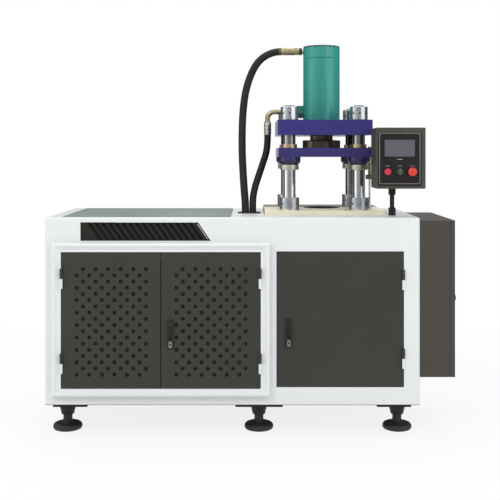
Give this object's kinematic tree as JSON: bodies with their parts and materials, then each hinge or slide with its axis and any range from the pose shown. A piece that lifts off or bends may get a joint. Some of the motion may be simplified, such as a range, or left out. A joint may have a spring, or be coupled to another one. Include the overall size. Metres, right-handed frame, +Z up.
{
  "type": "hydraulic powder press",
  "caption": "Hydraulic powder press: columns, guided ram plate and vertical cylinder on a sheet steel cabinet with perforated doors, side electrical box and swivelling control panel.",
  "frame": {"origin": "on the floor, below the middle of the whole machine's box, hoses left out", "axes": "+X to the operator's right, +Y away from the operator, +Z up; the operator stands at -Y"},
  "size_m": [1.6, 0.637, 1.548],
  "materials": {
    "frame_steel": "satin black",
    "cabinet_white": "white powder coat",
    "door_grey": "dark grey powder coat",
    "vent_black": "black powder coat",
    "mat_grey": "grey-green ribbed mat",
    "black_rubber": "matte black",
    "feet_black": "matte black",
    "zinc": "zinc plated",
    "bright_steel": "ground and polished",
    "machined_steel": "machined",
    "bolster_steel": "ground, light oil film",
    "blue_paint": "gloss blue",
    "green_paint": "gloss teal",
    "bronze": "bearing bronze",
    "brass_trim": "bright brass",
    "black_steel": "black oxide",
    "hose_black": "smooth black cover",
    "panel_grey": "hammered grey-green",
    "faceplate_black": "gloss black",
    "screen_grey": "glare-free display",
    "button_red": "gloss",
    "stop_red": "gloss",
    "knob_grey": "matte",
    "box_grey": "dark grey powder coat",
    "gear_grey": "matte",
    "latch_black": "satin black",
    "motor_blue": "satin blue-grey",
    "tank_grey": "satin grey"
  },
  "bodies": {
    "machine": {"tube_frame": "frame_steel", "floor_pan": "cabinet_white", "top_cover": "cabinet_white", "front_fascia": "cabinet_white", "side_panels": "cabinet_white", "rear_covers": "cabinet_white", "door_surround": "cabinet_white", "intake_grille": "vent_black", "work_mat": "mat_grey", "hose_grommet": "black_rubber", "foot_brackets": "black_steel", "leveling_feet": "feet_black", "hinge_pintles": "zinc", "bolster_plate": "bolster_steel", "columns": "bright_steel", "base_collars": "machined_steel", "column_nuts": "machined_steel", "crown_plate": "blue_paint", "cylinder_barrel": "green_paint", "cylinder_cap": "green_paint", "rod_gland": "bronze", "cylinder_screws": "black_steel", "stroke_rod": "bright_steel", "ejector_cylinder": "green_paint", "ebox_body": "box_grey", "control_gear": "gear_grey", "hmi_post": "black_steel", "oil_tank": "tank_grey", "drive_motor": "motor_blue", "gear_pump": "machined_steel", "valve_manifold": "machined_steel", "port_fittings": "zinc", "upper_hose": "hose_black", "lower_hose": "hose_black", "riser_pipes": "zinc"},
    "ram": {"piston_rod": "bright_steel", "rod_flange": "bolster_steel", "moving_platen": "blue_paint", "guide_bushes": "bronze", "retainer_rings": "zinc", "stroke_tube": "zinc"},
    "ejector": {"ejector_rod": "bright_steel"},
    "rotor": {"motor_shaft": "bright_steel"},
    "left_leaf": {"left_door": "door_grey"},
    "middle_leaf": {"middle_door": "door_grey", "middle_latch_housing": "latch_black"},
    "middle_lever": {"middle_latch_lever": "latch_black"},
    "middle_lock": {"middle_lock_barrel": "bright_steel"},
    "right_leaf": {"right_door": "door_grey", "right_latch_housing": "latch_black"},
    "right_lever": {"right_latch_lever": "latch_black"},
    "right_lock": {"right_lock_barrel": "bright_steel"},
    "box_leaf": {"ebox_door": "box_grey"},
    "box_lock": {"ebox_lock": "zinc"},
    "panel": {"hmi_enclosure": "panel_grey", "hmi_faceplate": "faceplate_black", "hmi_screen": "screen_grey"},
    "start": {"start_button": "button_red"},
    "selector": {"mode_selector": "knob_grey"},
    "stop": {"stop_button": "stop_red"}
  },
  "joints": [
    {"name": "press_stroke", "type": "slide", "parent": "machine", "child": "ram", "axis": [0, 0, 1], "range_m": [-0.105, 0]},
    {"name": "ejector_stroke", "type": "slide", "parent": "machine", "child": "ejector", "axis": [0, 0, 1], "range_m": [0, 0.06]},
    {"name": "motor_spin", "type": "hinge", "parent": "machine", "child": "rotor", "pos_m": [-0.66, -0.0515, 0.569], "axis": [1, 0, 0], "continuous": true},
    {"name": "left_door_hinge", "type": "hinge", "parent": "machine", "child": "left_leaf", "pos_m": [-0.7295, -0.3128, 0.45], "axis": [0, 0, -1], "range_deg": [0, 105]},
    {"name": "middle_door_hinge", "type": "hinge", "parent": "machine", "child": "middle_leaf", "pos_m": [0.0345, -0.3128, 0.45], "axis": [0, 0, 1], "range_deg": [0, 105]},
    {"name": "middle_latch_pivot", "type": "hinge", "parent": "middle_leaf", "child": "middle_lever", "pos_m": [-0.31025, -0.3105, 0.443], "axis": [-1, 0, 0], "range_deg": [0, 45]},
    {"name": "middle_lock_turn", "type": "hinge", "parent": "middle_leaf", "child": "middle_lock", "pos_m": [-0.31025, -0.3065, 0.36], "axis": [0, 1, 0], "range_deg": [0, 90]},
    {"name": "right_door_hinge", "type": "hinge", "parent": "machine", "child": "right_leaf", "pos_m": [0.5895, -0.2878, 0.45], "axis": [0, 0, 1], "range_deg": [0, 110]},
    {"name": "right_latch_pivot", "type": "hinge", "parent": "right_leaf", "child": "right_lever", "pos_m": [0.1455, -0.2855, 0.443], "axis": [-1, 0, 0], "range_deg": [0, 45]},
    {"name": "right_lock_turn", "type": "hinge", "parent": "right_leaf", "child": "right_lock", "pos_m": [0.1455, -0.2815, 0.36], "axis": [0, 1, 0], "range_deg": [0, 90]},
    {"name": "box_door_hinge", "type": "hinge", "parent": "machine", "child": "box_leaf", "pos_m": [0.7735, 0.2198, 0.53], "axis": [0, 0, 1], "range_deg": [0, 110]},
    {"name": "box_lock_turn", "type": "hinge", "parent": "box_leaf", "child": "box_lock", "pos_m": [0.78, -0.2385, 0.528], "axis": [-1, 0, 0], "range_deg": [0, 90]},
    {"name": "panel_swivel", "type": "hinge", "parent": "machine", "child": "panel", "pos_m": [0.566, -0.1505, 0.956], "axis": [0, 0, 1], "range_deg": [0, 60]},
    {"name": "start_push", "type": "slide", "parent": "panel", "child": "start", "axis": [0, 1, 0], "range_m": [0, 0.004], "stiffness_N_per_m": 800},
    {"name": "selector_turn", "type": "hinge", "parent": "panel", "child": "selector", "pos_m": [0.5775, -0.2695, 1.022], "axis": [0, 1, 0], "range_deg": [-45, 45]},
    {"name": "stop_push", "type": "slide", "parent": "panel", "child": "stop", "axis": [0, 1, 0], "range_m": [0, 0.005], "stiffness_N_per_m": 1000}
  ]
}
